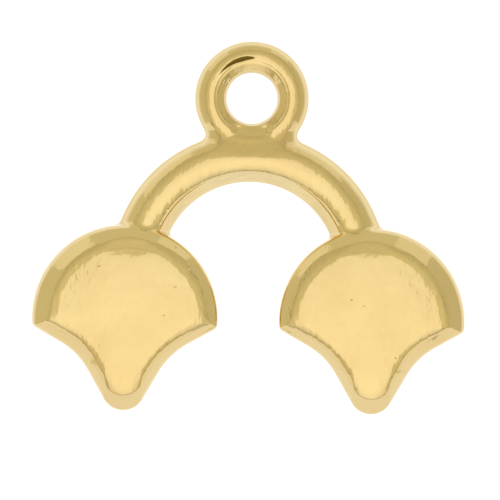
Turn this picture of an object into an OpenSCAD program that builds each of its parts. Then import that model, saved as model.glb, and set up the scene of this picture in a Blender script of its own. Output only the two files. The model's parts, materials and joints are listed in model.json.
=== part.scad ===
/* [Leaf] */
// Width of one leaf across its fan
leaf_w = 7.5; // [7.4:0.05:7.7]
// Height of one leaf from the top of its fan to the point of its stem
leaf_h = 7.5; // [7.3:0.05:7.6]
// Thickness of one leaf from its flat back to the top of its crown
leaf_t = 2.85; // [2.75:0.05:3.3]
// Distance between the centre lines of the two leaves
leaf_pitch = 9.9; // [9.4:0.1:10.4]
// Slope of the flank, the edge next to the fan's corner, from the horizontal
flank_angle = 29.5; // [29:0.5:30]
// Slope of the edge beside the stem, from the horizontal
stem_angle = 60; // [59:0.5:60.5]
// Radius of the hollow curve between those two edges
waist_r = 3; // [2.8:0.05:3.05]
// Radius of the stem's point
tip_r = 0.89; // [0.84:0.01:0.92]
// Radius of the fan's two corners
corner_r = 0.3; // [0.2:0.01:0.4]

/* [Leaf edge and face] */
// Radius of the edge round the flat back
back_r = 0.25; // [0.15:0.01:0.3]
// Radius of the shoulder between the side wall and the bevel
shoulder_r = 0.35; // [0.25:0.01:0.45]
// Slope of the bevel, from the horizontal
bevel_angle = 43.5; // [38:0.5:48]
// Distance from the fan's edge to the crease where the bevel meets the face
crease_inset = 0.45; // [0.4:0.01:0.5]
// Height of the crown above the crease
crown_h = 0.3; // [0.2:0.01:0.32]
// Distance over which the crown flattens out
crown_w = 0.6; // [0.4:0.05:0.8]
// Distance that the face lies nearer to the middle of the piece than the outline does
face_shift = 0.16; // [0:0.01:0.18]
// Distance that the fan's face lies lower than its outline
face_drop = 0.1; // [0:0.01:0.12]

/* [Arch] */
// Radius of the arch's centre line
arch_r = 4.52; // [4.3:0.02:4.7]
// Diameter of the arch's round bar
arch_d = 2; // [1.8:0.05:2.1]
// Height of the arch's centre above the middle of the fans
arch_rise = 1.98; // [1.8:0.02:2.2]

/* [Loop] */
// Outer radius of the loop
loop_outer_r = 2.28; // [2.2:0.02:2.4]
// Radius of the hole through the loop
loop_hole_r = 1.02; // [0.98:0.01:1.08]
// Diameter of the loop's round wire
loop_wire_d = 1.36; // [1.3:0.02:1.4]
// Distance from the arch's centre to the loop's centre
loop_rise = 6.87; // [6.7:0.01:7]

/* [Thread holes] */
// Diameter of the thread hole across each stem
thread_d = 0.9; // [0.7:0.05:1.1]
// Distance of the thread holes below the middle of the fans
thread_drop = 1.94; // [1.8:0.02:2.1]

/* [Hidden] */

// Height of the mould's parting line, where the outline is widest
parting_z = 1.2;
// Insets of the side wall, from the mould's draft, next to the back's edge and below the shoulder
back_draft = 0.06;
face_draft = 0.05;
// Height of the loop's wire above the parting line
loop_lift = 0.05;
// Angle above the horizontal at which the arch's bar ends, inside a leaf
arch_end_angle = 10;
// A hole's cutter passes the metal by this much
cut_past = 1;
// Least radius of a corner, and how fast the corners grow rounder inside the crease
sharp_r = 0.05;
corner_growth = 1.3;
// The flank and the stem's edge move inwards by these shares of the fan's inset
flank_share = 1.05;
stem_share = 0.76;
// Height on the leaf below which the face isn't shifted, seen from the middle of the fan
shift_low = -2.5;

// Places along the height of the whole piece, with its middle at zero
fan_r = leaf_w / 2;
tip_drop = leaf_h - fan_r;
total_h = loop_outer_r + loop_rise + arch_rise + tip_drop;
loop_y = total_h / 2 - loop_outer_r;
arch_y = loop_y - loop_rise;
fan_y = arch_y - arch_rise;

// The leaf's outline has the middle of the fan at zero. It is made of lines and arcs only,
// so a section at any inset is made of the same lines and arcs, moved inwards. The inset is
// the fan's. The bevel is narrower and steeper along the flanks and the stem.

// Angle below the horizontal at which the flank's line leaves the fan's circle
flank_start_angle = 5.7;
flank_point = fan_r * [cos(flank_start_angle), -sin(flank_start_angle)];
// Directions that point into the leaf, across the right flank and across the stem's right edge
flank_in = [-sin(flank_angle), cos(flank_angle)];
stem_in = [-sin(stem_angle), cos(stem_angle)];
stem_point = [0, tip_r - tip_drop] - tip_r * stem_in;

// Steps along the four arcs of half the outline
fan_steps = 14;
corner_steps = 4;
waist_steps = 8;
tip_steps = 5;

// The point that lies at these distances outside the flank's line and the stem's line
function outside_both(from_flank, from_stem) =
    let (
        flank_offset = flank_in * flank_point - from_flank,
        stem_offset = stem_in * stem_point - from_stem,
        turn = flank_in.x * stem_in.y - flank_in.y * stem_in.x
    )
    [
        (flank_offset * stem_in.y - stem_offset * flank_in.y) / turn,
        (stem_offset * flank_in.x - flank_offset * stem_in.x) / turn
    ];

// Radius and centre of the hollow curve at this inset
function waist_radius(inset) = waist_r + inset * (flank_share + stem_share) / 2;
function waist_centre(inset) =
    let (r = waist_radius(inset))
    outside_both(r - flank_share * inset, r - stem_share * inset);

// The centre of a corner of radius r at this inset
function corner_centre(inset, r) =
    let (offset = flank_in * flank_point + flank_share * inset + r, reach = fan_r - inset - r)
    offset * flank_in + sqrt(reach * reach - offset * offset) * [flank_in.y, -flank_in.x];

// The centre of a point of radius r at this inset
function point_centre(inset, r) =
    [0, (stem_in * stem_point + stem_share * inset + r) / stem_in.y];

// Points along an arc, with its first one and without its last one
function arc(centre, r, from, to, steps) =
    [
        for (i = [0 : steps - 1])
            let (a = from + (to - from) * i / steps)
            centre + r * [cos(a), sin(a)]
    ];

// Radius of the outline's corners at this inset. Inside the crease they grow rounder, as far
// as the waist leaves room.
function corner_radius(inset) =
    let (
        waist_start = waist_centre(inset) + waist_radius(inset) * flank_in,
        r = fan_r - inset,
        room = (r * r - waist_start * waist_start) / (2 * (r + waist_start * flank_in))
    )
    min(room, max(corner_r - inset, sharp_r) + corner_growth * max(inset - crease_inset, 0));

// Radius of the outline's point, as far as the waist leaves room
function point_radius(inset) =
    let (waist_end = waist_centre(inset) + waist_radius(inset) * stem_in)
    min(-waist_end.x / stem_in.x, tip_r);

// Right half of the outline from the top of the fan to the point of the stem, moved inwards
// by inset
function half_outline(inset) =
    let (
        corner = corner_radius(inset),
        corner_at = corner_centre(inset, corner),
        fan_end = atan2(corner_at.y, corner_at.x),
        point = point_radius(inset)
    )
    concat(
        arc([0, 0], fan_r - inset, 90, fan_end, fan_steps),
        arc(corner_at, corner, fan_end, flank_angle - 90, corner_steps),
        arc(
            waist_centre(inset), waist_radius(inset), flank_angle + 90, stem_angle + 90, waist_steps
        ),
        arc(point_centre(inset, point), point, stem_angle - 90, -90, tip_steps)
    );

// The whole outline, clockwise seen from the front
function outline(inset) =
    let (
        half = half_outline(inset),
        point = point_radius(inset)
    )
    concat(
        half,
        [point_centre(inset, point) - [0, point]],
        [for (i = [len(half) - 1 : -1 : 1]) [-half[i].x, half[i].y]]
    );

// Sections of the leaf from its back to its face.
// Columns: inset from the outline, height.
INSET = 0;
HEIGHT = 1;

back_steps = 3;
back_rows = [
    for (i = [0 : back_steps])
        let (a = 90 * i / back_steps)
        [back_draft + back_r * (1 - sin(a)), back_r * (1 - cos(a))]
];

// The shoulder is an arc that touches the side wall and the bevel
crease_z = leaf_t - crown_h;
shoulder_inset = face_draft + shoulder_r;
shoulder_z = crease_z
    + ((shoulder_inset - crease_inset) * sin(bevel_angle) - shoulder_r) / cos(bevel_angle);
shoulder_steps = 3;
shoulder_rows = [
    for (i = [0 : shoulder_steps])
        let (a = 180 - (90 - bevel_angle) * i / shoulder_steps)
        [shoulder_inset + shoulder_r * cos(a), shoulder_z + shoulder_r * sin(a)]
];

crown_distances = [0.1, 0.24, 0.42];
crown_rows = [
    for (d = crown_distances)
        [crease_inset + d, crease_z + crown_h * (1 - exp(-d / crown_w))]
];

leaf_rows = concat(
    back_rows,
    [[0, parting_z]],
    shoulder_rows,
    [[crease_inset, crease_z]],
    crown_rows
);

// One section of the leaf. Above the parting line it moves down and towards the middle of the
// piece, so the bevel is widest at the top and on the outer side. Its slope stays the same, so it
// reaches down further where it is wide.
function section(row, side) =
    let (
        edge = outline(0),
        crease = outline(crease_inset),
        ring = outline(row[INSET]),
        move = row[HEIGHT] > parting_z ? [-side * face_shift, -face_drop] : [0, 0],
        below = max(crease_z - row[HEIGHT], 0)
    )
    [
        for (i = [0 : len(ring) - 1])
            let (
                p = ring[i],
                up = min(max(1 - p.y / shift_low, 0), 1),
                shift = up * up * (3 - 2 * up) * move,
                across = crease[i] - edge[i],
                widening = shift * across / (across * across),
                q = p + shift * min(row[INSET] / crease_inset, 1)
            )
            [q.x, q.y, row[HEIGHT] - below * widening]
    ];

// The face closes towards its middle in smaller copies of the last section
face_middle = [0, 0.7];
face_shares = [0.85, 0.65, 0.3];
face_power = 4;

function face_ring(share, side) =
    let (last = leaf_rows[len(leaf_rows) - 1])
    [
        for (p = section(last, side))
            let (q = face_middle + share * ([p.x, p.y] - face_middle))
            [q.x, q.y, leaf_t - (leaf_t - last[HEIGHT]) * pow(share, face_power)]
    ];

// The side is 1 for the right leaf and -1 for the left one
module leaf(side) {
    rings = concat(
        [for (row = leaf_rows) section(row, side)],
        [for (share = face_shares) face_ring(share, side)]
    );
    n = len(rings[0]);
    last = (len(rings) - 1) * n;
    back_hub = last + n;
    face_hub = back_hub + 1;
    points = concat(
        [for (ring = rings) for (p = ring) p],
        [[0, 0, 0], [face_middle.x, face_middle.y, leaf_t]]
    );
    sides = [
        for (start = [0 : n : last - 1])
            for (i = [0 : n - 1])
                let (a = start + i, b = start + (i + 1) % n)
                each [[a, b + n, a + n], [a, b, b + n]]
    ];
    back = [for (i = [0 : n - 1]) [back_hub, (i + 1) % n, i]];
    face = [for (i = [0 : n - 1]) [face_hub, last + i, last + (i + 1) % n]];
    polyhedron(points = points, faces = concat(back, sides, face), convexity = 4);
}

// A round bar bent to part of a circle, with its ends inside the leaves
module arch() {
    translate([0, arch_y, parting_z])
        rotate([0, 0, arch_end_angle])
            rotate_extrude(angle = 180 - 2 * arch_end_angle, $fn = 96)
                translate([arch_r, 0])
                    circle(d = arch_d, $fn = 48);
}

// A ring of round wire that meets the top of the arch
module loop_ring() {
    translate([0, loop_y, parting_z + loop_lift])
        rotate_extrude($fn = 96)
            translate([loop_outer_r - loop_wire_d / 2, 0])
                circle(d = loop_wire_d, $fn = 48);
}

// The loop's hole, which leaves a short straight land on the wire
module loop_hole() {
    translate([0, loop_y, -cut_past])
        cylinder(r = loop_hole_r, h = leaf_t + 2 * cut_past, $fn = 64);
}

// One straight hole across a stem, for the thread of a row of beads
module thread_hole() {
    translate([0, -thread_drop, parting_z])
        rotate([0, 90, 0])
            cylinder(d = thread_d, h = fan_r + 2 * cut_past, center = true, $fn = 48);
}

// The whole finding is one casting
module end_cap() {
    color("#E9C46A")
        difference() {
            union() {
                for (side = [-1, 1])
                    translate([side * leaf_pitch / 2, fan_y, 0])
                        leaf(side);
                arch();
                loop_ring();
            }
            loop_hole();
            for (side = [-1, 1])
                translate([side * leaf_pitch / 2, fan_y, 0])
                    thread_hole();
        }
}

end_cap();
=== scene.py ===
"""A gold-plated end cap for a row of fan-shaped beads: two leaves, an arch and a loop in one casting."""

import json
from math import asin, atan2, cos, erf, exp, pi, radians, sin, sqrt, tan
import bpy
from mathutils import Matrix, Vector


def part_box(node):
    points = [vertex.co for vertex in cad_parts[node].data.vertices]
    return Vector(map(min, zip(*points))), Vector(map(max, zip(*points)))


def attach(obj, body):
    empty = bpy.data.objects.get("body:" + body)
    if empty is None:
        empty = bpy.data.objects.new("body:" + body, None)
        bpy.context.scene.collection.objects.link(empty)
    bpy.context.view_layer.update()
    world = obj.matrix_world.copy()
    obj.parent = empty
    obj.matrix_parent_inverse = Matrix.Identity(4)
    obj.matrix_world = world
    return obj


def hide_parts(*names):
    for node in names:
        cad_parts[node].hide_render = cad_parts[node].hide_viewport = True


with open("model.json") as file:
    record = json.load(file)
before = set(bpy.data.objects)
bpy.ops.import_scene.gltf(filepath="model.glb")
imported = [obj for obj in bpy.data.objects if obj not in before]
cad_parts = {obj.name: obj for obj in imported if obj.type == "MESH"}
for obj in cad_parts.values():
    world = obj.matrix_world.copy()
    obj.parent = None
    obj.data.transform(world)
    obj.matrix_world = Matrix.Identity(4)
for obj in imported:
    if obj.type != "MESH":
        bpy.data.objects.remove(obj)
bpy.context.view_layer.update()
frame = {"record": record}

from types import SimpleNamespace

import bmesh
import bpy
from bpy.props import FloatProperty, FloatVectorProperty, PointerProperty
from mathutils import Matrix, Vector
from mathutils.bvhtree import BVHTree
from mathutils.geometry import barycentric_transform

bl_info = {
    "name": "Bead row end cap",
    "version": (1, 0, 0),
    "blender": (4, 5, 0),
    "location": "View3D > Sidebar > End cap",
    "description": "Models a cast and gold-plated end cap for a row of fan-shaped beads",
    "category": "Add Mesh",
}

# One millimetre in metres. The casting is modelled in millimetres and made metres at the end,
# because Blender's own tolerances are too coarse for faces a twentieth of a millimetre wide.
MM = 0.001

MOUNTS = {mount["name"]: mount for mount in frame["record"]["mounts"]}
LOOP_HOLE = MOUNTS["loop_hole"]
THREAD_HOLE = MOUNTS["thread_hole_right"]
# Three places in millimetres: the loop's hole, the right thread hole and the middle of the right fan
LOOP_X, LOOP_Y, LOOP_Z = (metres / MM for metres in LOOP_HOLE["pos_m"])
THREAD_X, THREAD_Y, THREAD_Z = (metres / MM for metres in THREAD_HOLE["pos_m"])
FAN_X, FAN_Y = (metres / MM for metres in MOUNTS["flat_back"]["pos_m"][:2])
NODE_LOW, NODE_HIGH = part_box("end_cap")


def number(name, description, default, **limits):
    """A plain number for the panel."""
    return FloatProperty(name=name, description=description, default=default, **limits)


def length_in_metres(name, description, default):
    """A length for the panel. Its default is given in metres."""
    return number(name, description, default, unit="LENGTH", precision=5)


def length(name, description, default_mm):
    """A length for the panel. Its default is given in millimetres."""
    return length_in_metres(name, description, default_mm * MM)


def angle(name, description, default_degrees):
    """An angle for the panel. Its default is given in degrees."""
    return number(name, description, radians(default_degrees), subtype="ANGLE")


def linear(hex_colour):
    """An sRGB hex colour as linear red, green, blue and alpha."""
    channels = [int(hex_colour[i : i + 2], 16) / 255 for i in (0, 2, 4)]
    return [c / 12.92 if c <= 0.04045 else ((c + 0.055) / 1.055) ** 2.4 for c in channels] + [1.0]


def colour(name, description, default_hex):
    """A colour for the panel. Its default is given as sRGB hex."""
    settings = {"default": linear(default_hex), "size": 4, "subtype": "COLOR", "min": 0, "max": 1}
    return FloatVectorProperty(name=name, description=description, **settings)


class LeafSizes(bpy.types.PropertyGroup):
    """Sizes of one fan-shaped leaf"""

    width: length("Width", "Width across the fan", 7.5)
    height: length("Height", "From the top of the fan to the stem's point", 7.5)
    thickness: length_in_metres("Thickness", "From the flat back to the crown", NODE_HIGH.z - NODE_LOW.z)
    flank_angle: angle("Flank slope", "Slope of the edge next to the fan's corner", 29.5)
    stem_angle: angle("Stem slope", "Slope of the edge beside the stem", 60)
    flank_start: angle("Flank start", "Angle below the horizontal where the flank starts", 5.7)
    waist_radius: length("Waist radius", "Radius of the hollow curve between flank and stem", 3)
    tip_radius: length("Tip radius", "Radius of the stem's point", 0.89)
    corner_radius: length("Corner radius", "Radius of the fan's two corners", 0.3)
    parting_height: length("Parting line", "Height at which the outline is widest", 1.2)
    back_radius: length("Back edge", "Radius of the edge round the flat back", 0.25)
    back_draft: length("Back draft", "Inset of the side wall next to the back", 0.06)
    face_draft: length("Face draft", "Inset of the side wall below the shoulder", 0.05)
    shoulder_radius: length("Shoulder", "Radius between the side wall and the bevel", 0.35)
    bevel_angle: angle("Bevel slope", "Slope of the bevel round the face", 41)
    crease_inset: length("Crease inset", "Distance from the fan's edge to the crease", 0.45)
    crease_edge: length("Crease softness", "How far polishing has lowered the crease", 0.008)
    tip_slope: angle("Tip slope", "Slope of the facet at the stem's point", 43)
    crown_height: length("Crown height", "Height of the crown above the crease", 0.3)
    crown_reach: length("Crown reach", "Distance from the crease to the inner face", 0.42)
    side_rise: length("Side rise", "Height that the crown gains next to the crease", 0.13)
    side_width: length("Side width", "Distance over which it gains that height", 0.34)
    right_top_slope: angle("Right top slope", "Slope of the right leaf's face below the top crease", 19)
    left_top_slope: angle("Left top slope", "Slope of the left leaf's face below the top crease", 16)
    face_shift: length("Face shift", "How much nearer the face lies to the piece's middle", 0.16)
    face_drop: length("Face drop", "How much lower the face lies than its outline", 0.1)


class ArchSizes(bpy.types.PropertyGroup):
    """Sizes of the arch that joins the leaves"""

    radius: length("Radius", "Radius of the arch's centre line", 4.52)
    rise: length("Rise", "Height of the arch's centre above the middle of the fans", 1.98)
    bar: length("Bar", "Diameter of the arch's round bar", 2)
    end_angle: angle("End angle", "Angle above the horizontal at which the bar ends in a leaf", 10)
    filed_slope: angle("Filed slope", "Slope of the filed flat along the arch's inner side", 56)
    filed_arc: angle("Filed arc", "Arc of the bar that the filed flat replaces", 40)
    flat_start: length("Flat start", "Distance from the arch's centre to the flat under the loop", 4.47)
    flat_slope: angle("Flat slope", "Slope of the flat under the loop", 20)
    flat_edge: length("Flat edge", "Softness of the flat's edge", 0.04)
    flat_top: length("Flat top", "Distance of its upper end below the loop's axis", 0.95)
    flat_neck: length("Flat neck", "Distance below the loop's axis at which the flat grows wider", 1.4)
    flat_width: length("Flat width", "Half of the flat's width between the ends of the loop's crest", 0.87)
    leaf_fillet: length("Leaf fillet", "Reach of the fillet between the bar and a leaf", 0.2)
    loop_fillet: length("Loop fillet", "Reach of the fillet at the sides of the loop's neck", 0.5)
    front_fillet: length("Front fillet", "Reach of the fillet at the front of the loop's neck", 0.1)
    neck_inside: length("Neck front", "Half of the width with the front fillet's full reach", 0.6)
    neck_outside: length("Neck side", "Half of the width outside which the side fillet is full", 1.3)


class LoopSizes(bpy.types.PropertyGroup):
    """Sizes of the loop on top of the arch"""

    outer_radius: length("Outer radius", "Outer radius of the loop", 2.28)
    hole_radius: length("Hole radius", "Radius of the hole through the loop", LOOP_HOLE["dims"]["r_mm"])
    wire: length("Wire", "Diameter of the loop's round wire", 1.36)
    groove_radius: length("Groove radius", "Radius of the groove inside the crest", 1.46)
    groove_depth: length("Groove depth", "Depth of the groove", 0.02)
    sink_slope: angle("Countersink", "Slope of the countersink inside the groove", 28.5)
    chamfer_width: length("Chamfer width", "Width of the chamfer round the hole", 0.1)
    chamfer_slope: angle("Chamfer slope", "Slope of the chamfer round the hole", 72)
    ridge_width: length("Ridge width", "Distance between the countersink's ridges", 0.12)
    ridge_height: length("Ridge height", "Height of the countersink's ridges", 0.0012)
    dent_radius: length("Dent radius", "Distance of the dent from the hole's axis", 1.61)
    dent_width: length("Dent width", "Greatest width of the dent", 0.2)
    dent_depth: length("Dent depth", "Greatest depth of the dent", 0.03)
    dent_start: angle("Dent start", "Angle at which the dent starts, from the right", 86)
    dent_end: angle("Dent end", "Angle at which the dent runs out", 151)
    thread_radius: length("Thread hole", "Radius of the hole across each stem", THREAD_HOLE["dims"]["r_mm"])


class PlateLook(bpy.types.PropertyGroup):
    """Look of the gold plate"""

    gold: colour("Gold", "Colour of the plate on the face", "FFE39D")
    deep_gold: colour("Deep gold", "Colour of the thickest plate on the face", "FADA94")
    # Paler colour on the bevels: partly worn plate, partly a painted whitish sheen for their reflections
    pale_gold: colour("Worn gold and sheen", "Colour of the worn plate on the bevels", "FFE9B2")
    # Painted shade: this darker colour goes on the steep side walls and the hole's wall, standing in for
    # the darker light they reflect
    dull_gold: colour("Painted shade gold", "Colour of the side walls, which are hardly polished", "DDC384")
    # Painted shade: this dark colour is painted into the loop's dent
    painted_dent_shade: colour("Painted dent shade", "Colour of the polishing paste left in the loop's dent", "6E591B")
    roughness: number("Roughness", "Roughness of the polish", 0.07, min=0, max=1)
    ripple: length("Ripple", "Height of the casting's ripples under the polish", 0.019)
    unevenness: length("Unevenness", "Height of the broad unevenness from hand polishing", 0.035)


class StageSizes(bpy.types.PropertyGroup):
    """Sizes of the floor, the lights and the picture"""

    floor_width: length_in_metres("Floor", "Width of the floor", 3)
    light_height: length_in_metres("Light height", "Height of the soft light above the floor", 0.6)
    picture_width: length("Picture width", "Width that the picture takes in at the object", 20)
    focal_length: number("Focal length", "Focal length in millimetres", 450)
    picture_turn: angle("Picture turn", "Turn of the camera about its own line of sight", 0.96)
    aim_x: length("Aim across", "Point that the camera looks at, across", 0.023)
    aim_y: length("Aim up", "Point that the camera looks at, up", -0.904)


GROUPS = {
    "end_cap_leaf": LeafSizes,
    "end_cap_arch": ArchSizes,
    "end_cap_loop": LoopSizes,
    "end_cap_plate": PlateLook,
    "end_cap_stage": StageSizes,
}


def sizes_of(context, piece):
    """A copy of the sizes of the leaf, the arch or the loop, with every length in millimetres."""
    sizes = getattr(context.scene, "end_cap_" + piece)
    copied = SimpleNamespace()
    for prop in sizes.bl_rna.properties:
        if prop.type == "FLOAT":
            value = getattr(sizes, prop.identifier)
            setattr(copied, prop.identifier, value / MM if prop.unit == "LENGTH" else value)
    return copied


def at_angle(turn, reach=1.0):
    """The flat vector of this length at this angle."""
    return Vector((cos(turn), sin(turn))) * reach


def arc(centre, radius, start, end, steps):
    """Points along an arc, with its first one and without its last one."""
    return [centre + at_angle(start + (end - start) * i / steps, radius) for i in range(steps)]


def line(start, end, steps):
    """Points along a line, with its first one and without its last one."""
    return [start.lerp(end, i / steps) for i in range(steps)]


# Least radius of a corner, and how fast the corners grow rounder inside the crease
SHARP = 0.05
CORNER_GROWTH = 1.3
# The corners take up no more than this share of the room beside the hollow curve
CORNER_ROOM = 0.8
# The flanks and the stem's edges move inwards by these shares of the fan's inset. Inside the
# crease the flanks move as the stem's edges do.
FLANK_SHARE = 1.05
STEM_SHARE = 0.76
# Distances from the crease at which the bevel's and the crown's rings lie close together
CREASE_ZONE = 0.12
BEVEL_STEPS = 6
CREASE_STEPS = 14
CROWN_STEPS = 10
# How much narrower the crown's sloping rim is on the leaf's outer side than in the middle
BAND_LEAN = 0.35
# Softness of the line where the pressed plane below the top of the fan ends
PLANE_EDGE = 0.012
# Height on the leaf below which the face isn't shifted, seen from the middle of the fan
SHIFT_LOW = -2.5
# The face closes towards this point in smaller copies of the crown's last section
FACE_MIDDLE = Vector((0, 0.7))
FACE_STEPS = 26
FACE_END = 0.1
# Softness of the edges of the facet at the stem's point
TIP_FACET_EDGE = 0.01
TIP_FADE = radians(8)
# How often the face's height is evened out
SMOOTHINGS = 8
# Steps of the back's edge, of each part of the side wall and of the shoulder
BACK_STEPS = 8
WALL_STEPS = 6
SHOULDER_STEPS = 8
# Width of the band of faces inside the edge of the flat back
BACK_BAND = 0.08


class LeafOutline:
    """The leaf's outline at any distance inside its edge. The middle of the fan is at zero."""

    FAN_STEPS = 52
    CORNER_STEPS = 8
    FLANK_STEPS = 8
    WAIST_STEPS = 18
    STEM_STEPS = 5
    TIP_STEPS = 20

    def __init__(self, leaf):
        self.leaf = leaf
        self.fan_radius = leaf.width / 2
        tip_drop = leaf.height - self.fan_radius
        self.flank_in = at_angle(leaf.flank_angle + pi / 2)
        self.stem_in = at_angle(leaf.stem_angle + pi / 2)
        self.flank_offset = self.flank_in.dot(at_angle(-leaf.flank_start, self.fan_radius))
        stem_point = Vector((0, leaf.tip_radius - tip_drop)) - leaf.tip_radius * self.stem_in
        self.stem_offset = self.stem_in.dot(stem_point)

    def tip_centre(self, inset):
        """The centre of the round point, moved inwards with the stem's edges."""
        return Vector((0, (self.stem_offset + inset * STEM_SHARE + self.leaf.tip_radius) / self.stem_in.y))

    def waist_centre(self, radius, flank_inset, stem_inset):
        """The centre of the hollow curve of this radius between flank and stem."""
        flank = self.flank_offset + flank_inset - radius
        stem = self.stem_offset + stem_inset - radius
        x = flank * self.stem_in.y - stem * self.flank_in.y
        y = stem * self.flank_in.x - flank * self.stem_in.x
        return Vector((x, y)) / self.flank_in.cross(self.stem_in)

    def ring(self, inset, corner):
        """The whole outline, clockwise from the top of the fan, moved inwards by inset.

        The inset is the fan's. The flanks and the stem's edges move by a share of it. The two
        corners have the radius corner, as far as the hollow curve leaves room.
        """
        leaf = self.leaf
        tip = leaf.tip_radius
        past_crease = max(inset - leaf.crease_inset, 0)
        flank_inset = (inset - past_crease) * FLANK_SHARE + past_crease * STEM_SHARE
        stem_inset = inset * STEM_SHARE
        waist = leaf.waist_radius + (flank_inset + stem_inset) / 2
        waist_at = self.waist_centre(waist, flank_inset, stem_inset)
        flank_to = waist_at + waist * self.flank_in
        fan = self.fan_radius - inset
        room = (fan**2 - flank_to.length_squared) / 2 / (fan + flank_to.dot(self.flank_in))
        corner = min(corner, room * CORNER_ROOM)
        offset = self.flank_offset + flank_inset + corner
        along = Vector((self.flank_in.y, -self.flank_in.x))
        corner_reach = fan - corner
        corner_at = offset * self.flank_in + sqrt(corner_reach**2 - offset**2) * along
        tip_at = self.tip_centre(inset)
        fan_end = atan2(corner_at.y, corner_at.x)
        flank_side = leaf.flank_angle - pi / 2
        stem_side = leaf.stem_angle - pi / 2
        flank_from = corner_at + at_angle(flank_side, corner)
        stem_from = waist_at + at_angle(stem_side + pi, waist)
        stem_to = tip_at + at_angle(stem_side, tip)
        half = [
            *arc(Vector((0, 0)), fan, pi / 2, fan_end, self.FAN_STEPS),
            *arc(corner_at, corner, fan_end, flank_side, self.CORNER_STEPS),
            *line(flank_from, flank_to, self.FLANK_STEPS),
            *arc(waist_at, waist, flank_side + pi, stem_side + pi, self.WAIST_STEPS),
            *line(stem_from, stem_to, self.STEM_STEPS),
            *arc(tip_at, tip, stem_side, -pi / 2, self.TIP_STEPS),
        ]
        tip_point = tip_at - Vector((0, tip))
        return [*half, tip_point, *(Vector((-p.x, p.y)) for p in reversed(half[1:]))]


def shoulder_start(leaf):
    """Height at which the shoulder's arc starts. The arc touches the side wall and the bevel."""
    run = (leaf.face_draft + leaf.shoulder_radius - leaf.crease_inset) * sin(leaf.bevel_angle)
    return leaf.thickness - leaf.crown_height + (run - leaf.shoulder_radius) / cos(leaf.bevel_angle)


def leaf_rows(leaf):
    """Sections of the leaf from its back to the end of its shoulder, as pairs of inset and height."""
    rows = []
    for i in range(BACK_STEPS + 1):
        a = pi / 2 * i / BACK_STEPS
        rows.append((leaf.back_draft + leaf.back_radius * (1 - sin(a)), leaf.back_radius * (1 - cos(a))))

    shoulder_inset = leaf.face_draft + leaf.shoulder_radius
    shoulder_z = shoulder_start(leaf)
    for i in range(1, WALL_STEPS + 1):
        share = i / WALL_STEPS
        height = leaf.back_radius + (leaf.parting_height - leaf.back_radius) * share
        rows.append((leaf.back_draft * (1 - share), height))
    for i in range(1, WALL_STEPS):
        share = i / WALL_STEPS
        height = leaf.parting_height + (shoulder_z - leaf.parting_height) * share
        rows.append((leaf.face_draft * share, height))

    for i in range(SHOULDER_STEPS + 1):
        a = pi - (pi / 2 - leaf.bevel_angle) * i / SHOULDER_STEPS
        inset = shoulder_inset + leaf.shoulder_radius * cos(a)
        rows.append((inset, shoulder_z + leaf.shoulder_radius * sin(a)))

    return rows


def smooth_share(share):
    """The share, kept between zero and one and changing softly at both ends."""
    share = min(max(share, 0), 1)
    return share * share * (3 - 2 * share)


def soft_minimum(first, second, edge):
    """The smaller of two heights, with a soft change between them."""
    half_gap = (first - second) / 2
    return (first + second) / 2 - sqrt(half_gap * half_gap + edge * edge)


def face_height(leaf, side, place, inside, to_middle, widening):
    """Height of the bevel and the crown at a place this far inside the crease.

    The whole way from the crease to the middle of the face is to_middle. Where the shift of the
    face makes the bevel wider, it reaches down further by the same share. The bevel and the crown
    meet in the crease, which is slightly rounded. Below the top of the fan the face is pressed to
    a plane, which ends in a straight line across the leaf.
    """
    lean = 1 - BAND_LEAN * side * place.x / (leaf.width / 2)
    rise = leaf.side_rise * lean
    width = leaf.side_width * lean
    dome = leaf.crown_height - rise
    if inside > 0:
        crown = rise * erf(inside / width) + dome * (1 - (1 - inside / to_middle) ** 2)
    else:
        crown = inside * (rise * 2 / sqrt(pi) / width + dome * 2 / to_middle)
    top_slope = leaf.right_top_slope if side > 0 else leaf.left_top_slope
    plane = (leaf.width / 2 - leaf.crease_inset - leaf.face_drop - place.y) * tan(top_slope)
    crown = soft_minimum(crown, plane, PLANE_EDGE)
    bevel = inside * tan(leaf.bevel_angle) * (1 + widening)
    return leaf.thickness - leaf.crown_height + soft_minimum(bevel, crown, leaf.crease_edge)


def corner_radius(leaf, inset):
    """Radius of the fan's corners at this inset. Inside the crease they grow rounder."""
    return max(leaf.corner_radius - inset, SHARP) + CORNER_GROWTH * max(inset - leaf.crease_inset, 0)


def move(bm, by):
    """Moves a whole mesh."""
    bmesh.ops.translate(bm, verts=bm.verts, vec=by)


def turn_round(bm, turn, axis):
    """Turns a whole mesh about one of its axes."""
    bmesh.ops.rotate(bm, verts=bm.verts, cent=(0, 0, 0), matrix=Matrix.Rotation(turn, 3, axis))


def spin(bm, turn, steps, use_merge):
    """Spins a whole profile about the upright axis."""
    geom = bm.verts[:] + bm.edges[:]
    how = {"use_merge": use_merge, "use_normal_flip": False, "use_duplicate": False}
    bmesh.ops.spin(bm, geom=geom, cent=(0, 0, 0), axis=(0, 0, 1), angle=turn, steps=steps, **how)


def ring_edges(bm, ring):
    """The edges of a closed ring of vertices."""
    return [bm.edges.get((a, b)) for a, b in zip(ring, ring[1:] + ring[:1])]


def raise_ring(bm, ring, points):
    """Extrudes a closed ring of vertices and moves the new ring to these points."""
    made = bmesh.ops.extrude_edge_only(bm, edges=ring_edges(bm, ring))["geom"]
    new = {item for item in made if isinstance(item, bmesh.types.BMVert)}
    raised = []
    for vert in ring:
        neighbours = (edge.other_vert(vert) for edge in vert.link_edges)
        raised.append(next(other for other in neighbours if other in new))
    for vert, point in zip(raised, points):
        vert.co = point
    return raised


def close_ring(bm, ring):
    """Closes a ring with one face and returns it."""
    return bmesh.ops.contextual_create(bm, geom=ring_edges(bm, ring))["faces"]


def face_outwards(bm):
    """Turns every face of a closed mesh outwards."""
    bmesh.ops.recalc_face_normals(bm, faces=bm.faces)
    if bm.calc_volume(signed=True) < 0:
        bmesh.ops.reverse_faces(bm, faces=bm.faces)


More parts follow.
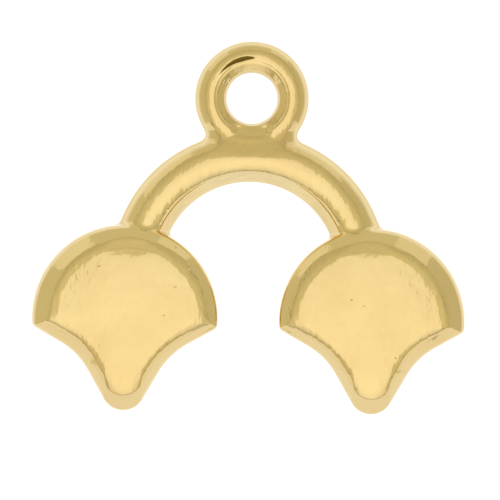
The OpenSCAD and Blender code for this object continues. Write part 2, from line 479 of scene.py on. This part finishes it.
def soft_step(amount, edge):
    """The amount where it is positive, zero where it is negative, and a soft change between them."""
    bend = sqrt(amount * amount + edge * edge)
    return (amount + bend) / 2 - edge * edge / (4 * max(abs(amount), edge))


def build_leaf(leaf, side):
    """One leaf: rings of its outline raised from the flat back to the crown.

    The side is 1 for the right leaf and -1 for the left one.
    """
    outline = LeafOutline(leaf)
    rows = leaf_rows(leaf)
    bm = bmesh.new()

    crease_z = leaf.thickness - leaf.crown_height
    shoulder_z = shoulder_start(leaf)

    def shift(place):
        """How far the face moves down and towards the piece's middle at this place."""
        return Vector((-side * leaf.face_shift, -leaf.face_drop)) * smooth_share(1 - place.y / SHIFT_LOW)

    widenings = []
    creases = outline.ring(leaf.crease_inset, corner_radius(leaf, leaf.crease_inset))
    for edge, crease in zip(outline.ring(0, corner_radius(leaf, 0)), creases):
        across = crease - edge
        widenings.append(shift(crease).dot(across) / across.length_squared)

    def section(inset, height):
        """The leaf's section at this inset and height."""
        points = outline.ring(inset, corner_radius(leaf, inset))
        if height <= leaf.parting_height:
            return [Vector((p.x, p.y, height)) for p in points]
        inwards = min(inset / leaf.crease_inset, 1)
        up_wall = min((height - leaf.parting_height) / (shoulder_z - leaf.parting_height), 1)
        below = (crease_z - max(height, shoulder_z)) * up_wall
        places = []
        for p, widening in zip(points, widenings):
            moved = p + shift(p) * inwards
            places.append(Vector((moved.x, moved.y, height - max(below, 0) * widening)))
        return places

    first = section(*rows[0])
    ring = bmesh.ops.create_circle(bm, segments=len(first), radius=leaf.width / 2)["verts"]
    for vert, point in zip(ring, first):
        vert.co = point
    back = close_ring(bm, ring)
    for row in rows[1:]:
        ring = raise_ring(bm, ring, section(*row))

    last_inset = leaf.crease_inset + leaf.crown_reach
    last = [p.xy for p in section(last_inset, leaf.thickness)]
    to_middle = [leaf.crown_reach + (p - FACE_MIDDLE).length for p in last]
    start = rows[-1][0] - leaf.crease_inset
    distances = [start + (-CREASE_ZONE - start) * i / BEVEL_STEPS for i in range(1, BEVEL_STEPS)]
    distances += [CREASE_ZONE * (2 * i / CREASE_STEPS - 1) for i in range(CREASE_STEPS)]
    rest = leaf.crown_reach - CREASE_ZONE
    distances += [CREASE_ZONE + rest * i / CROWN_STEPS for i in range(CROWN_STEPS + 1)]
    for inside in distances:
        places = section(leaf.crease_inset + inside, leaf.thickness)
        for place, whole, widening in zip(places, to_middle, widenings):
            place.z = face_height(leaf, side, place, inside, whole, widening)
        ring = raise_ring(bm, ring, places)
    soft_verts = list(ring)
    for i in range(1, FACE_STEPS + 1):
        share = 1 - (1 - FACE_END) * i / FACE_STEPS
        places = []
        for p, whole, widening in zip(last, to_middle, widenings):
            flat_place = FACE_MIDDLE + (p - FACE_MIDDLE) * share
            inside = whole - (whole - leaf.crown_reach) * share
            height = face_height(leaf, side, flat_place, inside, whole, widening)
            places.append(Vector((flat_place.x, flat_place.y, height)))
        ring = raise_ring(bm, ring, places)
        if i < FACE_STEPS / 2:
            soft_verts += ring
    # The stem's point is filed steeper than the bevel beside it
    tip_centre = outline.tip_centre(leaf.crease_inset)
    for vert in bm.verts:
        from_centre = vert.co.xy - tip_centre
        beside = abs(atan2(from_centre.x, -from_centre.y))
        on_point = from_centre.length > leaf.tip_radius / 2 and beside < pi / 2
        if vert.co.z > leaf.parting_height and on_point:
            outside = from_centre.length - leaf.tip_radius
            facet = leaf.thickness - leaf.crown_height - outside * tan(leaf.tip_slope)
            share = smooth_share((pi / 2 - leaf.stem_angle / 2 - beside) / TIP_FADE)
            vert.co.z -= share * soft_step(vert.co.z - max(facet, leaf.parting_height), TIP_FACET_EDGE)
    up_only = {"use_axis_x": False, "use_axis_y": False, "use_axis_z": True}
    for _ in range(SMOOTHINGS):
        bmesh.ops.smooth_vert(bm, verts=soft_verts, factor=0.5, **up_only)
    middle = close_ring(bm, ring)
    bmesh.ops.poke(bm, faces=middle)
    bmesh.ops.inset_region(bm, faces=back, thickness=BACK_BAND, use_even_offset=True)
    face_outwards(bm)
    move(bm, (side * FAN_X, FAN_Y, 0))
    return bm


# Steps along the arch and round its bar
ARCH_STEPS = 176
BAR_STEPS = 108
# How much wider the flat grows on its way down, and how softly it ends at its sides and at its top
FLAT_SPREAD = 1.2
FLAT_SIDE_FADE = 0.35
FLAT_TOP_FADE = 0.25


def press_flat(bm, arch, bar_z):
    """Presses the front flat where the loop stands on the bar."""
    bar_y = FAN_Y + arch.rise
    for vert in bm.verts:
        place = vert.co
        below = LOOP_Y - place.y
        if place.z > bar_z and place.y > bar_y and below > arch.flat_top:
            half_width = arch.flat_width + FLAT_SPREAD * max(below - arch.flat_neck, 0)
            share = smooth_share((half_width - abs(place.x)) / FLAT_SIDE_FADE)
            share *= smooth_share((below - arch.flat_top) / FLAT_TOP_FADE)
            flat = bar_z + arch.bar / 2 - (place.y - bar_y - arch.flat_start) * tan(arch.flat_slope)
            place.z -= share * soft_step(place.z - flat, arch.flat_edge)


def build_arch(arch, bar_z):
    """The round bar bent to part of a circle, with its ends inside the leaves."""
    bm = bmesh.new()
    bmesh.ops.create_circle(bm, segments=BAR_STEPS, radius=arch.bar / 2)
    turn_round(bm, pi / 2, "X")
    move(bm, (arch.radius, 0, 0))
    turn_round(bm, arch.end_angle, "Z")
    spin(bm, pi - 2 * arch.end_angle, ARCH_STEPS, use_merge=False)
    open_edges = [edge for edge in bm.edges if edge.is_boundary]
    bmesh.ops.holes_fill(bm, edges=open_edges, sides=0)
    face_outwards(bm)
    # The inner side is filed to a narrow flat
    for vert in bm.verts:
        from_axis = vert.co.xy.length
        out = (arch.radius - from_axis) * sin(arch.filed_slope) + vert.co.z * cos(arch.filed_slope)
        excess = out - arch.bar / 2 * cos(arch.filed_arc / 2)
        if excess > 0:
            vert.co.xy *= 1 + excess * sin(arch.filed_slope) / from_axis
            vert.co.z -= excess * cos(arch.filed_slope)
    move(bm, (0, FAN_Y + arch.rise, bar_z))
    press_flat(bm, arch, bar_z)
    return bm


# Steps round the loop, round its wire and across the straight land in its hole
LOOP_STEPS = 240
WIRE_STEPS = 120
LAND_CUTS = 6
# Distance over which the fine groove fades out on either side
GROOVE_WIDTH = 0.03
# The profile's point that lies this near to the chamfer's edge moves onto it
CHAMFER_SNAP = 0.013
# The first and the last copy of the profile lie closer together than this
SEAM_GAP = 0.0001
# How far the dent's widest place leans towards its start
DENT_LEAN = 0.6


def build_loop(loop, arch, bar_z):
    """The loop: a ring of round wire.

    Its hole has a straight land, a chamfer and a countersink with a fine groove round it.
    """
    wire_radius = loop.wire / 2
    crest = loop.outer_radius - wire_radius
    groove_height = sqrt(wire_radius**2 - (crest - loop.groove_radius) ** 2)
    hole_height = sqrt(wire_radius**2 - (crest - loop.hole_radius) ** 2)
    land_turn = pi - asin(hole_height / wire_radius)
    chamfer_radius = loop.hole_radius + loop.chamfer_width
    bm = bmesh.new()
    profile = []
    for i in range(WIRE_STEPS):
        share = i / (WIRE_STEPS - 1)
        # The front of the wire gets twice as many steps as its back
        turn = land_turn * ((3 * share - 1) if share < 1 / 3 else (3 * share - 1) / 2)
        rho = crest + wire_radius * cos(turn)
        height = wire_radius * sin(turn)
        if abs(rho - chamfer_radius) < CHAMFER_SNAP:
            rho = chamfer_radius
        if height > 0:
            sink = loop.groove_radius - rho
            if sink > 0:
                ridge = loop.ridge_height * (1 - cos(2 * pi * sink / loop.ridge_width)) / 2
                height = groove_height - sink * tan(loop.sink_slope) - ridge
            chamfer = max(chamfer_radius - rho, 0)
            height -= chamfer * (tan(loop.chamfer_slope) - tan(loop.sink_slope))
            gap = (rho - loop.groove_radius) / GROOVE_WIDTH
            height -= loop.groove_depth * exp(-gap * gap)
        profile.append(bm.verts.new((rho, 0, height)))
    for a, b in zip(profile, profile[1:]):
        bm.edges.new((a, b))
    land = bm.edges.new((profile[-1], profile[0]))
    bmesh.ops.subdivide_edges(bm, edges=[land], cuts=LAND_CUTS)
    spin(bm, 2 * pi, LOOP_STEPS, use_merge=True)
    bmesh.ops.remove_doubles(bm, verts=bm.verts, dist=SEAM_GAP)
    face_outwards(bm)
    for vert in bm.verts:
        if vert.co.z > 0:
            vert.co.z -= loop.dent_depth * dent_share(loop, vert.co.xy)
    move(bm, (0, LOOP_Y, LOOP_Z))
    press_flat(bm, arch, bar_z)
    return bm


def dent_share(loop, from_axis):
    """Share of the full depth that the sickle-shaped dent has at this place beside the loop's axis."""
    along = (atan2(from_axis.y, from_axis.x) - loop.dent_start) / (loop.dent_end - loop.dent_start)
    if not 0 < along < 1:
        return 0
    half_width = loop.dent_width / 2 * sin(pi * along**DENT_LEAN)
    aside = abs(from_axis.length - loop.dent_radius) / half_width
    return max(1 - aside * aside, 0) * sin(pi * along**DENT_LEAN)


class Skin:
    """The skin of a closed piece, which tells how far outside it a point lies."""

    def __init__(self, bm):
        solid = bm.copy()
        bmesh.ops.triangulate(solid, faces=solid.faces)
        solid.normal_update()
        self.tree = BVHTree.FromBMesh(solid)
        self.corners = [[vert.co.copy() for vert in face.verts] for face in solid.faces]
        self.normals = [[vert.normal.copy() for vert in face.verts] for face in solid.faces]
        solid.free()

    def gap(self, point):
        """How far outside the skin a point lies, and the direction that leads away from it."""
        near, _, index, distance = self.tree.find_nearest(point)
        away = barycentric_transform(near, *self.corners[index], *self.normals[index]).normalized()
        return (distance if (point - near).dot(away) > 0 else -distance), away


# How often a point moves closer to its place on a fillet
FILLET_MOVES = 6
# Keeps each move short where the two skins face almost opposite ways
LEAST_AGREEMENT = 0.2
# Points closer together than this are joined before they move onto a fillet
FILLET_GRAIN = 0.004


def fillet_point(point, first, second, reach):
    """Moves a point onto the fillet between two skins, and finds the fillet's normal there."""
    place = point.copy()
    for _ in range(FILLET_MOVES):
        first_gap, first_away = first.gap(place)
        second_gap, second_away = second.gap(place)
        if first_gap > second_gap:
            first_gap, second_gap = second_gap, first_gap
            first_away, second_away = second_away, first_away
        blend = max(reach - (second_gap - first_gap), 0) / reach
        gap = first_gap - blend * blend * reach / 4
        normal = first_away * (1 - blend / 2) + second_away * (blend / 2)
        place -= normal * (gap / max(normal.length_squared, LEAST_AGREEMENT))
    return place, normal.normalized()


def as_object(bm, name):
    """An object with this mesh, in the scene."""
    mesh = bpy.data.meshes.new(name)
    bm.to_mesh(mesh)
    bm.free()
    made = bpy.data.objects.new(name, mesh)
    bpy.context.scene.collection.objects.link(made)
    return made


def combine(target, tool, operation):
    """Joins a tool to the target or cuts it away, and removes the tool."""
    modifier = target.modifiers.new("combine", "BOOLEAN")
    modifier.operation = operation
    modifier.solver = "EXACT"
    modifier.object = tool
    evaluated = target.evaluated_get(bpy.context.evaluated_depsgraph_get())
    mesh = bpy.data.meshes.new_from_object(evaluated)
    target.modifiers.clear()
    old = target.data
    target.data = mesh
    bpy.data.meshes.remove(old)
    tool_mesh = tool.data
    bpy.data.objects.remove(tool)
    bpy.data.meshes.remove(tool_mesh)


SKINS = {}


def casting():
    """The object that the casting's pieces are joined into."""
    found = bpy.data.objects.get("casting")
    if found is None:
        raise RuntimeError("Model the leaves first")
    return found


class ENDCAP_OT_leaves(bpy.types.Operator):
    """Model the two leaves"""

    bl_idname = "endcap.leaves"
    bl_label = "Leaves"

    def execute(self, context):
        leaf = sizes_of(context, "leaf")
        right = build_leaf(leaf, 1)
        left = build_leaf(leaf, -1)
        SKINS["right leaf"], SKINS["left leaf"] = Skin(right), Skin(left)
        body = as_object(right, "casting")
        combine(body, as_object(left, "left_leaf"), "UNION")
        return {"FINISHED"}


class ENDCAP_OT_arch(bpy.types.Operator):
    """Model the arch and join it to the leaves"""

    bl_idname = "endcap.arch"
    bl_label = "Arch"

    def execute(self, context):
        leaf = sizes_of(context, "leaf")
        arch = sizes_of(context, "arch")
        bar = build_arch(arch, leaf.parting_height)
        SKINS["arch"] = Skin(bar)
        combine(casting(), as_object(bar, "arch"), "UNION")
        return {"FINISHED"}


class ENDCAP_OT_loop(bpy.types.Operator):
    """Model the loop and join it to the arch"""

    bl_idname = "endcap.loop"
    bl_label = "Loop"

    def execute(self, context):
        loop = sizes_of(context, "loop")
        arch = sizes_of(context, "arch")
        leaf = sizes_of(context, "leaf")
        ring = build_loop(loop, arch, leaf.parting_height)
        SKINS["loop"] = Skin(ring)
        combine(casting(), as_object(ring, "loop"), "UNION")
        return {"FINISHED"}


class ENDCAP_OT_fillets(bpy.types.Operator):
    """Round the inner corners where the pieces of the casting meet"""

    bl_idname = "endcap.fillets"
    bl_label = "Fillets"

    def execute(self, context):
        arch = sizes_of(context, "arch")
        loop = sizes_of(context, "loop")
        loop_axis = Vector((LOOP_X, LOOP_Y))
        mesh = casting().data
        bm = bmesh.new()
        bm.from_mesh(mesh)
        layer = bm.verts.layers.float_vector.new("fillet_normal")

        def junction(point):
            """The other skin that the arch meets near this point, and the reach of the fillet there."""
            if point.y > loop_axis.y - 2 * loop.outer_radius:
                aside = (abs(point.x) - arch.neck_inside) / (arch.neck_outside - arch.neck_inside)
                share = min(max(aside, 0), 1)
                return SKINS["loop"], arch.front_fillet + (arch.loop_fillet - arch.front_fillet) * share
            return SKINS["right leaf" if point.x > 0 else "left leaf"], arch.leaf_fillet

        def near_junction(point):
            other, reach = junction(point)
            return abs(SKINS["arch"].gap(point)[0]) < reach and abs(other.gap(point)[0]) < reach

        meeting = [vert for vert in bm.verts if near_junction(vert.co)]
        bmesh.ops.remove_doubles(bm, verts=meeting, dist=FILLET_GRAIN)
        for vert in [vert for vert in bm.verts if near_junction(vert.co)]:
            other, reach = junction(vert.co)
            place, normal = fillet_point(vert.co, SKINS["arch"], other, reach)
            from_axis = place.xy - loop_axis
            if from_axis.length < loop.hole_radius:
                from_axis.length = loop.hole_radius
                place.xy = loop_axis + from_axis
            place.z = max(place.z, 0)
            vert.co = place
            vert[layer] = normal
        bm.to_mesh(mesh)
        bm.free()
        return {"FINISHED"}


# Steps round each thread hole
DRILL_STEPS = 64


class ENDCAP_OT_thread_holes(bpy.types.Operator):
    """Drill the thread hole across each stem"""

    bl_idname = "endcap.thread_holes"
    bl_label = "Thread holes"

    def execute(self, context):
        loop = sizes_of(context, "loop")
        leaf = sizes_of(context, "leaf")
        for side in (-1, 1):
            bm = bmesh.new()
            radii = {"radius1": loop.thread_radius, "radius2": loop.thread_radius}
            bmesh.ops.create_cone(bm, cap_ends=True, segments=DRILL_STEPS, depth=leaf.width, **radii)
            turn_round(bm, pi / 2, "Y")
            move(bm, (side * THREAD_X, THREAD_Y, THREAD_Z))
            combine(casting(), as_object(bm, "drill"), "DIFFERENCE")
        return {"FINISHED"}


def add_node(tree, kind, inputs, settings=None):
    """Adds a node with its settings. Each input gets a value or the socket that feeds it."""
    node = tree.nodes.new(kind)
    for name, value in (settings or {}).items():
        setattr(node, name, value)
    for name, value in inputs.items():
        if isinstance(value, bpy.types.NodeSocket):
            tree.links.new(value, node.inputs[name])
        else:
            node.inputs[name].default_value = value
    return node


def clouds(tree, place, size, detail, roughness):
    """Cloudy noise. Its patches are about twice this size across."""
    inputs = {"Vector": place, "Scale": 1 / size, "Detail": detail, "Roughness": roughness}
    return add_node(tree, "ShaderNodeTexNoise", inputs).outputs["Fac"]


def ramp(tree, value, low, high, at_low=0.0, at_high=1.0, **settings):
    """Turns the values from low to high into values from at_low to at_high."""
    inputs = {"Value": value, "From Min": low, "From Max": high, "To Min": at_low, "To Max": at_high}
    return add_node(tree, "ShaderNodeMapRange", inputs, settings).outputs["Result"]


def tinted(tree, base, tint, share):
    """The base colour, with this share of the tint in it."""
    inputs = {"A": base, "B": tint, "Factor": share}
    return add_node(tree, "ShaderNodeMix", inputs, {"data_type": "RGBA"}).outputs["Result"]


def raised(tree, height, distance, **more_inputs):
    """The normal of a surface that is raised by this distance where the height is one."""
    inputs = {"Height": height, "Distance": distance, "Strength": 1.0, **more_inputs}
    return add_node(tree, "ShaderNodeBump", inputs).outputs["Normal"]


def material_with(name, build):
    """A new material. The function build adds its nodes and returns the surface's socket."""
    material = bpy.data.materials.new(name)
    material.use_nodes = True
    tree = material.node_tree
    tree.nodes.clear()
    add_node(tree, "ShaderNodeOutputMaterial", {"Surface": build(tree)})
    return material


def gold_plate(tree, look):
    """Gold, electroplated over a brass casting that was polished by hand and in a tumbler.

    The polish makes it a soft mirror. The casting's ripples still show under the plate, so the
    edges of its reflections are ragged, and the plate's thickness makes its yellow vary a little.
    """
    coordinates = add_node(tree, "ShaderNodeTexCoord", {})
    place = coordinates.outputs["Object"]
    facing = add_node(tree, "ShaderNodeSeparateXYZ", {"Vector": coordinates.outputs["Normal"]}).outputs["Z"]

    # Ripples of about 0.5 mm from crest to crest, drawn out along the leaves by the polishing
    drawn_out = add_node(tree, "ShaderNodeMapping", {"Vector": place, "Scale": (1, 0.5, 1)})
    ripple = clouds(tree, drawn_out.outputs["Vector"], 0.26 * MM, 1.5, 0.5)
    # Hand polishing leaves the surface uneven over 2 to 3 mm
    uneven = clouds(tree, place, 1.3 * MM, 2.0, 0.6)
    # Tumbling leaves a finer orange peel of about 0.2 mm
    peel = clouds(tree, place, 0.1 * MM, 2.0, 0.5)
    # Pores of about 0.1 mm are left in the casting, here and there
    pores = add_node(tree, "ShaderNodeTexVoronoi", {"Vector": place, "Scale": 1 / (1 * MM)})
    out_of_pores = ramp(tree, pores.outputs["Distance"], 0.0, 0.06)
    # Tumbling smooths the bevels and edges more than the flat faces
    unworn = ramp(tree, facing, 0.75, 0.97, 0.25, 1.0)
    surface = raised(tree, uneven, look.unevenness)
    surface = raised(tree, ripple, look.ripple, Strength=unworn, Normal=surface)
    surface = raised(tree, peel, look.ripple / 8, Normal=surface)
    surface = raised(tree, out_of_pores, look.ripple, Normal=surface)

    # The plate's thickness varies over a few millimetres, with fine smudges in it
    smudges = ramp(tree, clouds(tree, place, 4 * MM, 5.0, 0.65), 0.35, 0.65)
    plate = tinted(tree, look.gold, look.deep_gold, smudges)
    # Tumbling wears the plate on the bevels, so they are paler; this paler, whiter colour is also a painted
    # sheen that stands in for their reflections
    plate = tinted(tree, plate, look.pale_gold, ramp(tree, facing, 0.5, 0.85, 1.0, 0.0))
    # Painted shade: the steep side walls and the hole are darkened by how far they face sideways
    plate = tinted(tree, plate, look.dull_gold, ramp(tree, facing, 0.38, 0.53, 1.0, 0.0))
    # Painted shade darkens the dent in the loop
    shade_in_dent = add_node(tree, "ShaderNodeAttribute", {}, {"attribute_name": "painted_dent_shade"}).outputs["Fac"]
    inputs = {
        "Metallic": 1.0,
        "Base Color": tinted(tree, plate, look.painted_dent_shade, shade_in_dent),
        "Roughness": ramp(tree, peel, 0.0, 1.0, look.roughness * 0.8, look.roughness * 1.3),
        "Normal": surface,
    }
    return add_node(tree, "ShaderNodeBsdfPrincipled", inputs).outputs["BSDF"]


# The painted shade fills the dent almost to its edge
DENT_SHADE_SHARPNESS = 3
# Edges that turn more than this stay crisp
CRISP_TURN = radians(38)
# Slivers narrower than this are dissolved after the pieces are joined
SLIVER = 0.0005


class ENDCAP_OT_finish(bpy.types.Operator):
    """Polish and plate the casting, and put it in the CAD node's place"""

    bl_idname = "endcap.finish"
    bl_label = "Finish"

    def execute(self, context):
        loop = sizes_of(context, "loop")
        body = casting()
        mesh = body.data
        bm = bmesh.new()
        bm.from_mesh(mesh)
        bmesh.ops.dissolve_degenerate(bm, edges=bm.edges, dist=SLIVER)
        bmesh.ops.triangulate(bm, faces=bm.faces)
        # The leaves' finer steps reach a hundredth of a millimetre further than the solid's
        fit = Vector((1, 1, 1))
        for axis in (0, 1):
            places = [vert.co[axis] for vert in bm.verts]
            room = (NODE_HIGH[axis] - NODE_LOW[axis]) / MM
            fit[axis] = min(1, room / (max(places) - min(places)))
        bmesh.ops.scale(bm, verts=bm.verts, vec=fit)
        bmesh.ops.scale(bm, verts=bm.verts, vec=(MM, MM, MM))
        layer = bm.verts.layers.float_vector["fillet_normal"]
        bm.normal_update()
        for face in bm.faces:
            face.smooth = True
        for edge in bm.edges:
            edge.smooth = len(edge.link_faces) < 2 or edge.calc_face_angle(0) < CRISP_TURN
        bm.verts.index_update()
        normals = [vert[layer].copy() for vert in bm.verts]
        # Painted shade for the loop's dent, kept on the mesh for the plate's material to read
        loop_axis = Vector(LOOP_HOLE["pos_m"][:2])
        painted_dent_shade = []
        for vert in bm.verts:
            on_front = vert.co.z > LOOP_HOLE["pos_m"][2]
            share = dent_share(loop, (vert.co.xy - loop_axis) / MM) if on_front else 0
            painted_dent_shade.append(smooth_share(share * DENT_SHADE_SHARPNESS))
        bm.to_mesh(mesh)
        bm.free()
        mesh.normals_split_custom_set([normals[corner.vertex_index] for corner in mesh.loops])
        mesh.attributes.new("painted_dent_shade", "FLOAT", "POINT").data.foreach_set("value", painted_dent_shade)
        mesh.attributes.remove(mesh.attributes["fillet_normal"])
        mesh.materials.clear()
        look = context.scene.end_cap_plate
        name = "gold plate over a polished casting"
        mesh.materials.append(material_with(name, lambda tree: gold_plate(tree, look)))
        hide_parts("end_cap")
        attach(body, "root")
        return {"FINISHED"}


# Cards of the light tent: name, middle, turn about X and Z in degrees, width and height, share of
# the width that is left at the far edge, corner radius, colour, brightness in the middle of the
# glow and at its rim. Lengths are shares of the light's height.
LIGHT_CARDS = (
    ("soft light", (0, -0.96, 1), (0, 0), (2.5, 2.82), 0.16, 0.15, "FFFFFF", (1.03, 0.56)),
    ("ceiling", (0, -0.45, 1.02), (0, 0), (2.28, 3.98), 1, 0, "FFFDE6", (0.78, 0.52)),
    ("ceiling gap", (0, -0.8, 1.04), (0, 0), (2.6, 5.1), 1, 0, "FFFDE6", (0.3, 0.3)),
    ("back wall", (0, 1.58, 0.5), (90, 0), (2.4, 1), 1, 0, "FFFDE6", (0.6, 0.6)),
    ("left wall", (-1.17, 0.5, 0.5), (90, 90), (2.2, 1), 1, 0, "FFFDE6", (0.6, 0.6)),
    ("right wall", (1.17, 0.5, 0.5), (90, -90), (2.2, 1), 1, 0, "FFFDE6", (0.55, 0.55)),
    ("left reflector", (-0.97, 1.2, 0.3), (90, 67), (0.9, 0.6), 1, 0, "FFFFF4", (0.76, 0.76)),
    ("right reflector", (0.8, 1.3, 0.3), (90, -45), (0.7, 0.6), 1, 0, "FFFFF4", (0.72, 0.72)),
)
# Where the glow is brightest, and how far from there it reaches its rim
GLOW_MIDDLE = Vector((0, -0.45, 0))
GLOW_REACH = Vector((1.35, 2.0, 1))


def diffuser(tree, unit, glow_colour, glow):
    """White cloth lit from behind, brightest in the middle of the soft light."""
    place = add_node(tree, "ShaderNodeTexCoord", {}).outputs["Object"]
    glow_place = {"Vector": place, "Location": GLOW_MIDDLE * unit, "Scale": GLOW_REACH * unit}
    from_middle = add_node(tree, "ShaderNodeMapping", glow_place, {"vector_type": "TEXTURE"})
    flattening = {0: from_middle.outputs["Vector"], 1: (1, 1, 0)}
    flat = add_node(tree, "ShaderNodeVectorMath", flattening, {"operation": "MULTIPLY"})
    distance = add_node(tree, "ShaderNodeVectorMath", {0: flat.outputs["Vector"]}, {"operation": "LENGTH"})
    fade = ramp(tree, distance.outputs["Value"], 0.0, 1.0, *glow, interpolation_type="SMOOTHSTEP")
    inputs = {"Color": linear(glow_colour), "Strength": fade}
    return add_node(tree, "ShaderNodeEmission", inputs).outputs["Emission"]


def light_card(unit, name, middle, turns, size, taper, corner, glow_colour, glow):
    """A glowing card of the light tent."""
    bm = bmesh.new()
    bmesh.ops.create_grid(bm, x_segments=1, y_segments=1, size=0.5)
    bmesh.ops.scale(bm, verts=[vert for vert in bm.verts if vert.co.y > 0], vec=(taper, 1, 1))
    bmesh.ops.scale(bm, verts=bm.verts, vec=(size[0], size[1], 1))
    if corner:
        round_off = {"affect": "VERTICES", "segments": 10, "profile": 0.5, "material": -1}
        bmesh.ops.bevel(bm, geom=bm.verts[:], offset=corner, offset_type="OFFSET", **round_off)
    for turn, axis in zip(turns, "XZ"):
        turn_round(bm, radians(turn), axis)
    move(bm, middle)
    bmesh.ops.scale(bm, verts=bm.verts, vec=(unit, unit, unit))
    card = as_object(bm, name)
    glowing = material_with(name + " diffuser", lambda tree: diffuser(tree, unit, glow_colour, glow))
    card.data.materials.append(glowing)
    card.visible_camera = False


def opal_acrylic(tree):
    """Opal acrylic sheet over a light box, under a grey-tinted clear sheet.

    It glows white from below, so that the piece throws hardly any shadow. The clear sheet's gloss
    and tint dim it where the piece sees it at a low angle.
    """
    inputs = {
        "Base Color": linear("9C9C9A"),
        "Roughness": 0.6,
        "Specular IOR Level": 0.0,
        "Coat Weight": 1.0,
        "Coat IOR": 1.4,
        "Coat Tint": linear("ACACAC"),
        "Coat Roughness": 0.12,
        "Emission Color": linear("FFFFFF"),
        "Emission Strength": 2.7,
    }
    return add_node(tree, "ShaderNodeBsdfPrincipled", inputs).outputs["BSDF"]


# The floor lies this far below the flat back, so that the two don't share one plane
FLOOR_GAP = 0.01 * MM


class ENDCAP_OT_stage(bpy.types.Operator):
    """Set up the floor, the soft light and the camera"""

    bl_idname = "endcap.stage"
    bl_label = "Stage"

    def execute(self, context):
        sizes = context.scene.end_cap_stage
        bm = bmesh.new()
        bmesh.ops.create_grid(bm, x_segments=1, y_segments=1, size=sizes.floor_width / 2)
        move(bm, (0, 0, NODE_LOW.z - FLOOR_GAP))
        floor = as_object(bm, "floor")
        floor.data.materials.append(material_with("opal acrylic over a light box", opal_acrylic))

        for card in LIGHT_CARDS:
            light_card(sizes.light_height, *card)
        world = bpy.data.worlds.new("studio")
        world.use_nodes = True
        tree = world.node_tree
        tree.nodes.clear()
        background = add_node(tree, "ShaderNodeBackground", {"Color": linear("EAEAEE")})
        add_node(tree, "ShaderNodeOutputWorld", {"Surface": background.outputs["Background"]})
        context.scene.world = world

        context.scene.view_settings.view_transform = "Standard"
        camera_data = bpy.data.cameras.new("camera")
        camera_data.lens = sizes.focal_length
        camera_data.clip_start = 0.01
        camera = bpy.data.objects.new("camera", camera_data)
        distance = sizes.picture_width * sizes.focal_length / camera_data.sensor_width
        middle = (NODE_LOW.z + NODE_HIGH.z) / 2
        camera.location = (sizes.aim_x, sizes.aim_y, middle + distance)
        camera.rotation_euler = (0, 0, sizes.picture_turn)
        context.scene.collection.objects.link(camera)
        context.scene.camera = camera
        return {"FINISHED"}


class ENDCAP_PT_panel(bpy.types.Panel):
    """The end cap's steps and sizes"""

    bl_idname = "ENDCAP_PT_panel"
    bl_label = "End cap"
    bl_space_type = "VIEW_3D"
    bl_region_type = "UI"
    bl_category = "End cap"

    def draw(self, context):
        for step in STEPS:
            self.layout.operator(step.bl_idname)
        for name, group in GROUPS.items():
            box = self.layout.box()
            box.label(text=group.__doc__)
            for key in group.__annotations__:
                box.prop(getattr(context.scene, name), key)


STEPS = (
    ENDCAP_OT_leaves,
    ENDCAP_OT_arch,
    ENDCAP_OT_loop,
    ENDCAP_OT_fillets,
    ENDCAP_OT_thread_holes,
    ENDCAP_OT_finish,
    ENDCAP_OT_stage,
)
CLASSES = (*GROUPS.values(), *STEPS, ENDCAP_PT_panel)


def register():
    for cls in CLASSES:
        bpy.utils.register_class(cls)
    for name, group in GROUPS.items():
        setattr(bpy.types.Scene, name, PointerProperty(type=group))


def unregister():
    for name in GROUPS:
        delattr(bpy.types.Scene, name)
    for cls in reversed(CLASSES):
        bpy.utils.unregister_class(cls)


def main():
    register()
    bpy.ops.endcap.leaves()
    bpy.ops.endcap.arch()
    bpy.ops.endcap.loop()
    bpy.ops.endcap.fillets()
    bpy.ops.endcap.thread_holes()
    bpy.ops.endcap.finish()
    bpy.ops.endcap.stage()


if __name__ == "__main__":
    main()
